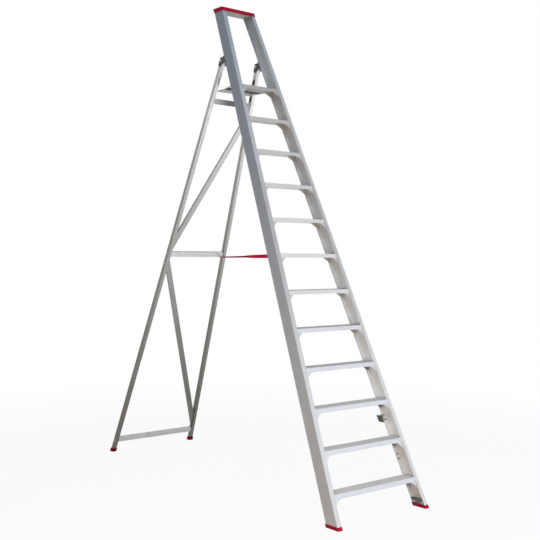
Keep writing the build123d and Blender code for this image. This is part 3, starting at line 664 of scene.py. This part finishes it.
# Moulded and coated pieces
plasticLooks = dict(
    crimsonPlastic=dict(
        deep=(0.50, 0.002, 0.032, 1), colour=(0.66, 0.003, 0.05, 1),
        rubbed=(0.62, 0.008, 0.052, 1), dusty=(0.54, 0.025, 0.055, 1),
        roughness=(0.4, 0.6), pebble=1100.0, scuffs=0.3, dust=0.15,
        bump=0.12, bumpDepth=0.0002, specular=0.1,
    ),
    crimsonRubber=dict(
        deep=(0.33, 0.002, 0.025, 1), colour=(0.44, 0.002, 0.036, 1),
        rubbed=(0.39, 0.007, 0.034, 1), dusty=(0.34, 0.025, 0.04, 1),
        roughness=(0.5, 0.75), pebble=800.0, scuffs=0.35, dust=0.18,
        bump=0.2, bumpDepth=0.0003, specular=0.08,
    ),
    # the rear boots: the crimson rubber darkened with painted shade
    shadedRubber=dict(
        deep=(0.22, 0.002, 0.02, 1), colour=(0.31, 0.003, 0.03, 1),
        rubbed=(0.29, 0.007, 0.03, 1), dusty=(0.25, 0.02, 0.035, 1),
        roughness=(0.5, 0.75), pebble=800.0, scuffs=0.35, dust=0.18,
        bump=0.2, bumpDepth=0.0003, specular=0.08,
    ),
    greyPlastic=dict(
        deep=(0.085, 0.078, 0.07, 1), colour=(0.14, 0.13, 0.118, 1),
        rubbed=(0.22, 0.21, 0.20, 1), dusty=(0.24, 0.23, 0.21, 1),
        roughness=(0.5, 0.75), pebble=900.0, scuffs=0.5, dust=0.35,
        bump=0.2, bumpDepth=0.0003, specular=0.35,
    ),
    tanPlastic=dict(
        deep=(0.40, 0.34, 0.28, 1), colour=(0.52, 0.445, 0.37, 1),
        rubbed=(0.56, 0.49, 0.42, 1), dusty=(0.54, 0.48, 0.42, 1),
        roughness=(0.5, 0.75), pebble=900.0, scuffs=0.4, dust=0.2,
        bump=0.2, bumpDepth=0.0003, specular=0.3,
    ),
    blackPlastic=dict(
        deep=(0.02, 0.018, 0.016, 1), colour=(0.042, 0.038, 0.034, 1),
        rubbed=(0.11, 0.105, 0.10, 1), dusty=(0.12, 0.115, 0.105, 1),
        roughness=(0.45, 0.7), pebble=900.0, scuffs=0.45, dust=0.25,
        bump=0.2, bumpDepth=0.0003, specular=0.35,
    ),
    darkCoating=dict(
        deep=(0.055, 0.052, 0.05, 1), colour=(0.105, 0.10, 0.096, 1),
        rubbed=(0.26, 0.255, 0.25, 1), dusty=(0.20, 0.19, 0.18, 1),
        roughness=(0.42, 0.6), pebble=600.0, scuffs=0.5, dust=0.2,
        bump=0.15, bumpDepth=0.0002, specular=0.4,
    ),
)
plasticDulling = (0.0, 0.6)


def plasticMaterial(name, look):
    material, tree, surface, coords, normal = startMaterial(name, specular=look["specular"])
    pebble = useGroup(tree, pebbleGroup, Vector=coords, Size=look["pebble"])
    scuffs = useGroup(tree, scuffGroup, Vector=coords, Amount=look["scuffs"])
    dust = useGroup(tree, dustGroup, Vector=coords, Normal=normal, Amount=look["dust"])
    colour = mixed(pebble["Tone"], look["deep"], look["colour"])
    colour = mixed(scuffs["Mask"], colour, look["rubbed"])
    feed(surface["Base Color"], mixed(dust["Mask"], colour, look["dusty"]))
    dulled = sums("MAXIMUM", scuffs["Mask"], dust["Mask"])
    feed(surface["Roughness"], fit(dulled, plasticDulling, look["roughness"]))
    bumpFrom(surface, pebble["Height"], look)
    return material


# Zinc plated steel of the pins, the rod and the rivets
zincLook = dict(
    deep=(0.58, 0.58, 0.59, 1), pale=(0.80, 0.79, 0.78, 1), spangle=dict(size=240.0, detail=4.0),
    tarnish=(0.30, 0.28, 0.25, 1), stain=dict(size=60.0, detail=5.0), stainFade=(0.55, 0.75), stainShare=0.6,
    metallic=0.75, roughFade=(0.3, 0.7), roughness=(0.26, 0.45), bump=0.08, bumpDepth=0.0002,
)


def zincMaterial(name, look):
    material, _, surface, coords, _ = startMaterial(name, look["metallic"])
    spangle = noise(coords, **look["spangle"])
    stain = fit(noise(coords, **look["stain"]), look["stainFade"], (0.0, look["stainShare"]), True)
    colour = mixed(spangle, look["deep"], look["pale"])
    feed(surface["Base Color"], mixed(stain, colour, look["tarnish"]))
    feed(surface["Roughness"], fit(spangle, look["roughFade"], look["roughness"]))
    bumpFrom(surface, spangle, look)
    return material


finishes = {name: plasticMaterial(name, look) for name, look in plasticLooks.items()}
finishes.update({name: metalMaterial(name, **parts) for name, parts in metals.items()})
finishes["zincSteel"] = zincMaterial("zincSteel", zincLook)

# Which finish each solid of the frame gets, by its name or by how its name ends; the rest are treads
finishByName = dict(
    left_stile="leftStileMetal", right_stile="rightStileMetal", tread_12="topTreadMetal",
    top_crossbar="hoopSheet", top_cap="crimsonPlastic", leg_catch="greyPlastic",
    left_rear_leg="leftLegTube", right_rear_leg="rightLegTube", rear_top_crossbar="shadedMiddleTube",
    upper_brace="upperBraceTube", lower_brace="lowerBraceTube", platform_deck="deckMetal",
    platform_hinge_lugs="foldedSheet", platform_hinge_rod="zincSteel", platform_support_rod="barTube",
    platform_stiffener="blackPlastic",
)
finishByEnding = dict(
    _brackets="foldedSheet", _crossbar="barTube", _pivot_bracket="darkCoating", _pin="zincSteel",
    _rear_boot="shadedRubber", _boot="crimsonRubber", _insert="greyPlastic", _platform_rest="blackPlastic",
)


def finishFor(node):
    if node in finishByName:
        return finishByName[node]
    ended = (finish for ending, finish in finishByEnding.items() if node.endswith(ending))
    return next(ended, "treadMetal")


for node in nodes:
    if node != "restraint_strap":
        nodes[node].data.materials.clear()
        nodes[node].data.materials.append(finishes[finishFor(node)])
print("metal, plastic and rubber dressed")


# Meshes from whole arrays
def gridFaces(rows, columns):
    # Quads between neighbouring rows, closed round the columns
    row = np.arange(rows - 1)[:, None] * columns
    column = np.arange(columns)[None, :]
    beside = (column + 1) % columns
    corners = (row + column, row + beside, row + columns + beside, row + columns + column)
    return np.stack(corners, axis=-1).reshape(-1, 4)


def newPiece(name, points, faces, finish):
    mesh = bpy.data.meshes.new(name)
    mesh.from_pydata(points.reshape(-1, 3).tolist(), [], faces)
    mesh.update()
    mesh.polygons.foreach_set("use_smooth", np.full(len(mesh.polygons), True))
    mesh.materials.append(finishes[finish])
    piece = bpy.data.objects.new(name, mesh)
    scene.collection.objects.link(piece)
    return piece


def unit(vectors):
    return vectors / np.linalg.norm(vectors, axis=-1, keepdims=True)


def pointsAt(x, y, z):
    return np.stack(np.broadcast_arrays(x, y, z), axis=-1).reshape(-1, 3)


def everyPair(*lists):
    return [grid.ravel() for grid in np.meshgrid(*lists, indexing="ij")]


# Turned pieces: rivet heads, washers, domes and stitches, each a profile of reach and rise
turnedShapes = dict(
    rivet=((1.0, -0.12), (1.0, 0.2), (0.8, 0.72), (0.4, 1.0), (0.24, 0.8)),
    washer=((1.0, -0.1), (1.0, 0.7), (0.92, 1.0), (0.3, 1.0)),
    dome=((1.0, -0.1), (0.94, 0.35), (0.75, 0.72), (0.42, 0.94), (0.12, 1.0)),
    stitch=((0.25, -0.5), (0.85, -0.36), (1.0, 0.0), (0.85, 0.36), (0.25, 0.5)),
)
turnedAround = 10
nearlySideways = 0.8


def turned(name, shape, places, axis, look):
    # The profile turned about each axis: place + radius (cos, sin) across + height along the axis.
    # stretch lengthens it to one side, and square below 1 makes the round a rounded rectangle
    places = np.atleast_2d(places)
    axis = unit(np.broadcast_to(axis, places.shape))
    sideways = unit(np.cross(axis, np.where(np.abs(axis[:, :1]) > nearlySideways, straightUp, toRight)))
    third = np.cross(axis, sideways)
    reach, rise = np.array(turnedShapes[shape]).T
    angle = np.linspace(0, 2 * np.pi, turnedAround, endpoint=False)
    circle = np.stack([np.cos(angle), np.sin(angle)])
    swing, lift = np.sign(circle) * np.abs(circle) ** look.get("square", 1.0)
    lift = lift * look.get("stretch", 1.0)
    ring = swing[:, None] * sideways[:, None, None, :] + lift[:, None] * third[:, None, None, :]
    points = places[:, None, None, :] + look["radius"] * reach[:, None, None] * ring
    points = points + look["tall"] * rise[None, :, None, None] * axis[:, None, None, :]
    each = len(reach) * turnedAround
    shift = (np.arange(len(places)) * each)[:, None]
    quads = (gridFaces(len(reach), turnedAround)[None] + shift[:, :, None]).reshape(-1, 4)
    base = (np.arange(turnedAround)[::-1] + shift).tolist()
    top = (np.arange(each - turnedAround, each) + shift).tolist()
    piece = newPiece(name, points, quads.tolist() + base + top, look["finish"])
    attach(piece, look["body"])
    return piece


# Rivets of the treads: through the faces into the bracket flanges, and through the brackets into the webs
treadRivets = dict(
    fromFlange=0.035, below=0.0135, radius=0.0045, tall=0.0016,
    finish="zincSteel", slot="pin_steel", body="front_frame",
)
webRivets = dict(
    below=0.047, setbacks=(0.030, 0.065), fromOutside=0.0053, radius=0.0045, tall=0.0016,
    finish="foldedSheet", slot="bracket_metal", body="front_frame",
)
rivetZ, rivetSide = everyPair(treadTops - treadRivets["below"], bothSides)
rivetX = rivetSide * (outerX(rivetZ) - ladder["flange"] - treadRivets["fromFlange"])
frontFace = pointsAt(rivetX, behind(rivetZ, ladder["faceSetback"]), rivetZ)
rearFace = pointsAt(rivetX, behind(rivetZ, ladder["depth"] - ladder["faceSetback"]), rivetZ)
turned("tread_front_rivets", "rivet", frontFace, climbOut, treadRivets)
turned("tread_rear_rivets", "rivet", rearFace, -climbOut, treadRivets)
webZ, webSide, webBack = everyPair(treadTops - webRivets["below"], bothSides, webRivets["setbacks"])
webPlaces = pointsAt(webSide * (outerX(webZ) - webRivets["fromOutside"]), behind(webZ, webBack), webZ)
webAxis = pointsAt(-webSide, 0.0, -ladder["spread"])
turned("bracket_web_rivets", "rivet", webPlaces, webAxis, webRivets)
print("tread and bracket rivets set")

# Inside the right rear flange: keeper plate of the leg catch with two dark tabs at its ends that paint the
# shadow lines of its edges, and lower down two dark dashes that paint the shade in two slots
flangeFittings = dict(
    catch_keeper=dict(
        x=(0.3291,), z=(0.5335,), half=(0.0085, 0.0225), tall=0.0020, finish="tanPlastic",
    ),
    catch_tab_shadows=dict(
        x=(0.336, 0.341), z=(0.548, 0.520), half=(0.0100, 0.0034), tall=0.0026, finish="greyPlastic",
    ),
    flange_slot_shadows=dict(
        x=(0.3565, 0.3575), z=(0.307, 0.280), half=(0.0110, 0.0030), tall=0.0016, finish="greyPlastic",
    ),
)
fittingSeat = dict(setback=0.0925, square=0.35, slot="dark_plastic", body="front_frame")
for name, fitting in flangeFittings.items():
    halfAcross, halfAlong = fitting["half"]
    seatZ = np.array(fitting["z"])
    seats = pointsAt(fitting["x"], behind(seatZ, fittingSeat["setback"]), seatZ)
    sizes = dict(fittingSeat, **fitting, radius=halfAlong, stretch=halfAcross / halfAlong)
    turned(name, "washer", seats, climbOut, sizes)

# Rivets of the plugs in the stile feet
plugRivets = dict(
    z=0.0296, setbacks=(0.0165, 0.075), setIn=0.030, radius=0.006, tall=0.002,
    finish="foldedSheet", slot="bracket_metal", body="front_frame",
)
plugSide, plugBack = everyPair(bothSides, plugRivets["setbacks"])
plugX = plugSide * (outerX(plugRivets["z"]) - plugRivets["setIn"])
plugPlaces = pointsAt(plugX, behind(plugRivets["z"], plugBack), plugRivets["z"])
turned("foot_plug_rivets", "rivet", plugPlaces, pointsAt(-plugSide, 0.0, -ladder["spread"]), plugRivets)

# Rivets through the outer faces of the rear legs into the bars and braces
legRivets = dict(
    heights=(0.103, 1.6058, 2.720), apart=0.018, braceLeft=(1.690, 1.532), braceRight=(2.640, 0.190),
    radius=0.004, tall=0.0015, finish="zincSteel", slot="pin_steel", body="rear_frame",
)
pairSteps = legRivets["apart"] / 2 * np.array(bothSides)
barZ = np.add.outer(legRivets["heights"], pairSteps).ravel()
legZ = np.concatenate([barZ, legRivets["braceLeft"], barZ, legRivets["braceRight"]])
legSide = np.repeat(bothSides, len(legZ) // 2)
legPlaces = pointsAt(legSide * (legX(legZ) + ladder["legWidth"] / 2), legY(legZ), legZ)
turned("leg_rivets", "rivet", legPlaces, pointsAt(legSide, 0.0, ladder["rearSpread"]), legRivets)

# Domes on the heads of the pivot pins
pinDomes = dict(
    out=0.0216, radius=0.006, tall=0.0018, finish="zincSteel", slot="pin_steel", body="front_frame",
)
domeSide, domeEnd = everyPair(bothSides, bothSides)
pivotX, pivotY, pivotZ = ladder["pivot"]
domePlaces = pointsAt(domeSide * pivotX + domeEnd * pinDomes["out"], pivotY, pivotZ)
turned("pivot_pin_domes", "dome", domePlaces, pointsAt(domeEnd, 0.0, 0.0), pinDomes)
print("catch, plug, leg and pivot fastenings set")

# Strap: its size and run, with the turn of the webbing in degrees at shares of the run
strapShape = dict(
    width=0.025, wall=0.0018, height=1.59332, tab=0.030, gap=0.0003, rearX=0.228533, barLow=1.58682,
    barDepth=0.020, bend=0.006, tabSteps=8, bendSteps=7, runSteps=160, flatFront=0.06, flatRear=0.02,
    freeFrom=0.03, shares=(0.0, 0.1, 0.36, 0.46, 0.94, 1.0), turns=(0.0, 0.0, 36.0, 61.0, 70.0, 90.0),
    section=(
        (1.0, 0.0), (0.97, 0.66), (0.9, 1.0), (0.45, 0.88), (0.0, 0.86), (-0.45, 0.88), (-0.9, 1.0),
        (-0.97, 0.66), (-1.0, 0.0), (-0.97, -0.66), (-0.9, -1.0), (-0.45, -0.88), (0.0, -0.86),
        (0.45, -0.88), (0.9, -1.0), (0.97, -0.66),
    ),
)

# Woven webbing of the strap: warp threads in columns that go over and under the weft
weaveLook = dict(
    deep=(0.92, 0.004, 0.07, 1), bright=(1.0, 0.006, 0.10, 1), edge=(0.95, 0.004, 0.08, 1), edgeShare=0.7,
    dusty=(0.60, 0.03, 0.07, 1), dust=0.06, runShade=(0.16, 0.008, 0.04, 1), runShadeFade=(0.5, 0.6), runShadeShare=0.6,
    warp=0.00125, weft=0.0024, over=(0.38, 0.62), selvedge=0.0022,
    wear=dict(size=18.0, detail=4.0), wearFade=(0.3, 0.75), wearShare=(0.65, 1.0),
    roughness=(0.85, 0.6), sheen=0.01, specular=0.08, bump=0.6, bumpDepth=0.0003,
)


def weaveMaterial(name, look, width):
    # The map strapLay gives metres across the strap and along it
    material, tree, surface, coords, normal = startMaterial(name, specular=look["specular"])
    feed(surface["Sheen Weight"], look["sheen"])
    lay = axes(addNode(tree, "ShaderNodeUVMap", uv_map="strapLay").outputs["UV"])
    column = sums("DIVIDE", lay["X"], look["warp"])
    ridge = sums("ABSOLUTE", sums("SINE", sums("MULTIPLY", column, math.pi)))
    phase = sums("MULTIPLY", sums("MODULO", sums("FLOOR", column), 2.0), math.pi)
    wave = sums("SINE", sums("MULTIPLY_ADD", lay["Y"], 2 * math.pi / look["weft"], phase))
    thread = sums("MULTIPLY", ridge, sums("MULTIPLY_ADD", wave, *look["over"]))
    overlaid = fit(noise(coords, **look["wear"]), look["wearFade"], look["wearShare"])
    colour = mixed(sums("MULTIPLY", thread, overlaid), look["deep"], look["bright"])
    fromMiddle = sums("ABSOLUTE", sums("SUBTRACT", lay["X"], width / 2))
    edgeFade = (width / 2 - look["selvedge"], width / 2 - look["selvedge"] / 2)
    colour = mixed(fit(fromMiddle, edgeFade, (0.0, look["edgeShare"]), True), colour, look["edge"])
    # painted shade: the strap darker from about half a metre along its run, where it turns edge-on
    colour = mixed(fit(lay["Y"], look["runShadeFade"], (0.0, look["runShadeShare"])), colour, look["runShade"])
    dust = useGroup(tree, dustGroup, Vector=coords, Normal=normal, Amount=look["dust"])
    feed(surface["Base Color"], mixed(dust["Mask"], colour, look["dusty"]))
    feed(surface["Roughness"], fit(thread, (0.0, 1.0), look["roughness"]))
    bumpFrom(surface, thread, look)
    return material


def straight(start, end, steps):
    return start + (end - start) * np.linspace(0, 1, steps)[:, None]


def rounded(corner, before, after, reach, steps):
    # A corner as a curve pulled towards it: (1-t)(1-t) start + 2t(1-t) corner + tt end
    t = np.linspace(0, 1, steps + 2)[1:-1, None]
    start = corner - reach * before
    end = corner + reach * after
    return (1 - t) ** 2 * start + 2 * t * (1 - t) * corner + t ** 2 * end


def smoothStep(value):
    value = np.clip(value, 0.0, 1.0)
    return value * value * (3 - 2 * value)


# The flat section carried from the stile's back, along the twisted run, to the underside of the bar:
# path + half the width across + half the wall outward, where across turns about the path
finishes["strapWeave"] = weaveMaterial("strapWeave", weaveLook, strapShape["width"])
tabZ = strapShape["height"]
underZ = strapShape["barLow"]
bend = strapShape["bend"]
halfTab = toRight * strapShape["tab"] / 2
halfBar = propOut * strapShape["barDepth"] / 2
halfWall = strapShape["wall"] / 2
tabX = -(outerX(tabZ) - ladder["flange"] / 2)
frontTab = np.array([tabX, behind(tabZ, ladder["depth"] + strapShape["gap"]), tabZ]) - climbOut * halfWall
rearTab = np.array([strapShape["rearX"], legY(underZ), underZ]) - propUp * (strapShape["gap"] + halfWall)
runStart = frontTab + halfTab
runEnd = rearTab + halfBar
alongRun = unit(runEnd - runStart)
alongBar = -propOut
path = np.concatenate([
    straight(frontTab - halfTab, runStart - bend * toRight, strapShape["tabSteps"]),
    rounded(runStart, toRight, alongRun, bend, strapShape["bendSteps"]),
    straight(runStart + bend * alongRun, runEnd - bend * alongRun, strapShape["runSteps"]),
    rounded(runEnd, alongRun, alongBar, bend, strapShape["bendSteps"]),
    straight(runEnd + bend * alongBar, rearTab - halfBar, strapShape["tabSteps"]),
])
runShare = np.clip((path - runStart) @ alongRun / np.linalg.norm(runEnd - runStart), 0, 1)[:, None]
twist = np.radians(np.interp(runShare, strapShape["shares"], strapShape["turns"]))
level = unit(np.cross(straightUp, alongRun))
onStile = 1 - smoothStep(runShare / strapShape["flatFront"])
underBar = smoothStep((runShare - 1 + strapShape["flatRear"]) / strapShape["flatRear"])
across = (1 - onStile) * (1 - underBar) * (np.cos(twist) * straightUp + np.sin(twist) * level)
across = across + onStile * climbUp - underBar * toRight
ahead = unit(np.gradient(path, axis=0))
across = unit(across - ahead * np.sum(across * ahead, axis=1, keepdims=True))
outward = np.cross(ahead, across)
wide, thick = np.array(strapShape["section"]).T
points = path[:, None] + strapShape["width"] / 2 * wide[None, :, None] * across[:, None]
points = points + halfWall * thick[None, :, None] * outward[:, None]
rows, columns = points.shape[:2]
ends = [list(range(columns))[::-1], list(range((rows - 1) * columns, rows * columns))]
strap = newPiece("strap_webbing_run", points, gridFaces(rows, columns).tolist() + ends, "strapWeave")
strapLength = np.concatenate([[0.0], np.cumsum(np.linalg.norm(np.diff(path, axis=0), axis=1))])
lie = np.stack(np.broadcast_arrays((wide + 1) * strapShape["width"] / 2, strapLength[:, None]), axis=-1)
corners = np.empty(len(strap.data.loops), int)
strap.data.loops.foreach_get("vertex_index", corners)
strap.data.uv_layers.new(name="strapLay").data.foreach_set("uv", lie.reshape(-1, 2)[corners].ravel())

# Stitches and a riveted washer on each tab
stitchShape = dict(
    tall=0.0026, radius=0.00035, apart=0.0034, each=7, rows=(-0.009, 0.009), lift=0.0009, rearCrowding=0.75,
    finish="strapWeave", slot="strap_webbing",
)
washerShape = dict(radius=0.0075, tall=0.0012, finish="zincSteel", slot="pin_steel")
headShape = dict(radius=0.0045, tall=0.0022, finish="zincSteel", slot="pin_steel")
stitchStep = (np.arange(stitchShape["each"]) - (stitchShape["each"] - 1) / 2) * stitchShape["apart"]
stitchRow, stitchAt = (values[:, None] for values in everyPair(stitchShape["rows"], stitchStep))
tabs = dict(
    front=dict(
        middle=frontTab, off=-climbOut, along=toRight, spots=stitchRow * climbUp + stitchAt * toRight,
    ),
    rear=dict(
        middle=rearTab, off=-propUp, along=alongBar,
        spots=stitchRow * toRight + stitchShape["rearCrowding"] * stitchAt * alongBar,
    ),
)
for word, tab in tabs.items():
    tab["body"] = word + "_frame"
    tab["seat"] = tab["middle"] + stitchShape["lift"] * tab["off"]
    sewn = dict(stitchShape, body=tab["body"])
    spots = tab["seat"] + tab["spots"]
    turned(f"strap_{word}_stitches", "stitch", spots, tab["along"], sewn)
for word, tab in tabs.items():
    onWasher = tab["seat"] + washerShape["tall"] * tab["off"]
    turned(f"strap_{word}_washer", "washer", tab["seat"], tab["off"], dict(washerShape, body=tab["body"]))
    turned(f"strap_{word}_rivet", "rivet", onWasher, tab["off"], dict(headShape, body=tab["body"]))
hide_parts("restraint_strap")
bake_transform(strap)
print("strap woven, stitched and riveted,", round(float(strapLength[-1]), 3), "m long")


# Floor, backdrop and lamps
def seenDirectly(tree):
    # Rays from the camera, or by way of a mirror or glass
    rays = addNode(tree, "ShaderNodeLightPath").outputs
    seen = sums("MAXIMUM", rays["Is Camera Ray"], rays["Is Glossy Ray"])
    return sums("MAXIMUM", seen, rays["Is Transmission Ray"])


def eitherShader(amount, first, second):
    made = nodeFor([amount], "ShaderNodeMixShader")
    for socket, source in zip(made.inputs, (amount, first, second)):
        feed(socket, source)
    return made.outputs[0]


# The floor lies just under the soles, and fades from a shadowed floor to plain white
stageLook = dict(half=30.0, drop=0.0002, colour=(0.82, 0.795, 0.77, 1), glow=0.94, fade=(2.2, 5.5))
floorX, floorY = np.array([(-1, -1), (1, -1), (1, 1), (-1, 1)]).T * stageLook["half"]
floorMesh = bpy.data.meshes.new("studioFloor")
floorMesh.from_pydata(pointsAt(floorX, floorY, -stageLook["drop"]).tolist(), [], [(0, 1, 2, 3)])
floor = bpy.data.objects.new("studioFloor", floorMesh)
scene.collection.objects.link(floor)
floorPaint = bpy.data.materials.new("studioFloorPaint")
floorPaint.use_nodes = True
floorTree = floorPaint.node_tree
floorTree.nodes.remove(floorTree.nodes["Principled BSDF"])
matt = addNode(floorTree, "ShaderNodeBsdfDiffuse")
feed(matt.inputs["Color"], stageLook["colour"])
glow = addNode(floorTree, "ShaderNodeEmission")
distance = addNode(floorTree, "ShaderNodeVectorMath", operation="LENGTH")
feed(distance.inputs[0], addNode(floorTree, "ShaderNodeTexCoord").outputs["Object"])
whiter = fit(distance.outputs["Value"], stageLook["fade"], (stageLook["glow"], 1.0), True)
shown = sums("MULTIPLY", seenDirectly(floorTree), whiter)
floorSurface = eitherShader(shown, matt.outputs[0], glow.outputs[0])
feed(floorTree.nodes["Material Output"].inputs["Surface"], floorSurface)
floorMesh.materials.append(floorPaint)

worldLook = dict(fill=(0.80, 0.90, 1.0, 1), fillStrength=0.20)
world = bpy.data.worlds.new("studioWorld")
scene.world = world
world.use_nodes = True
worldTree = world.node_tree
worldTree.nodes.clear()
backdrop = addNode(worldTree, "ShaderNodeBackground")
feed(backdrop.inputs["Color"], plainWhite)
fill = addNode(worldTree, "ShaderNodeBackground")
feed(fill.inputs["Color"], worldLook["fill"])
feed(fill.inputs["Strength"], worldLook["fillStrength"])
worldSurface = eitherShader(seenDirectly(worldTree), fill.outputs[0], backdrop.outputs[0])
feed(addNode(worldTree, "ShaderNodeOutputWorld").inputs["Surface"], worldSurface)

lamps = dict(
    frontSoftbox=dict(
        place=(0.2, -4.0, 0.8), aim=(0.1, -0.7, 1.0), size=(1.6, 1.6), power=60.0, colour=(0.95, 0.98, 1.0),
    ),
    sideSoftbox=dict(
        place=(-2.8, -2.6, 1.2), aim=(0.2, -0.6, 1.2), size=(1.4, 1.6), power=36.0, colour=(1.0, 0.985, 0.97),
    ),
    lowSoftbox=dict(
        place=(0.2, -3.6, 0.05), aim=(0.0, -0.5, 3.2), size=(2.4, 1.2), power=28.0, colour=(1.0, 0.94, 0.86),
    ),
    highSoftbox=dict(
        place=(-1.2, -3.0, 5.4), aim=(0.2, -0.4, 1.8), size=(2.6, 2.6), power=24.0, colour=(0.95, 0.975, 1.0),
    ),
    rearSoftbox=dict(
        place=(3.2, 3.6, 3.0), aim=(0.0, 0.6, 1.4), size=(2.5, 2.5), power=28.0, colour=(1.0, 1.0, 1.0),
    ),
)
for name, look in lamps.items():
    lampData = bpy.data.lights.new(name, "AREA")
    lampData.shape = "RECTANGLE"
    lampData.size, lampData.size_y = look["size"]
    lampData.energy = look["power"]
    lampData.color = look["colour"]
    lamp = bpy.data.objects.new(name, lampData)
    toward = (Vector(look["aim"]) - Vector(look["place"])).to_track_quat("-Z", "Y")
    lamp.matrix_world = Matrix.Translation(look["place"]) @ toward.to_matrix().to_4x4()
    lamp.visible_camera = False
    lamp.visible_glossy = name != "lowSoftbox"
    scene.collection.objects.link(lamp)
print("stage lit")
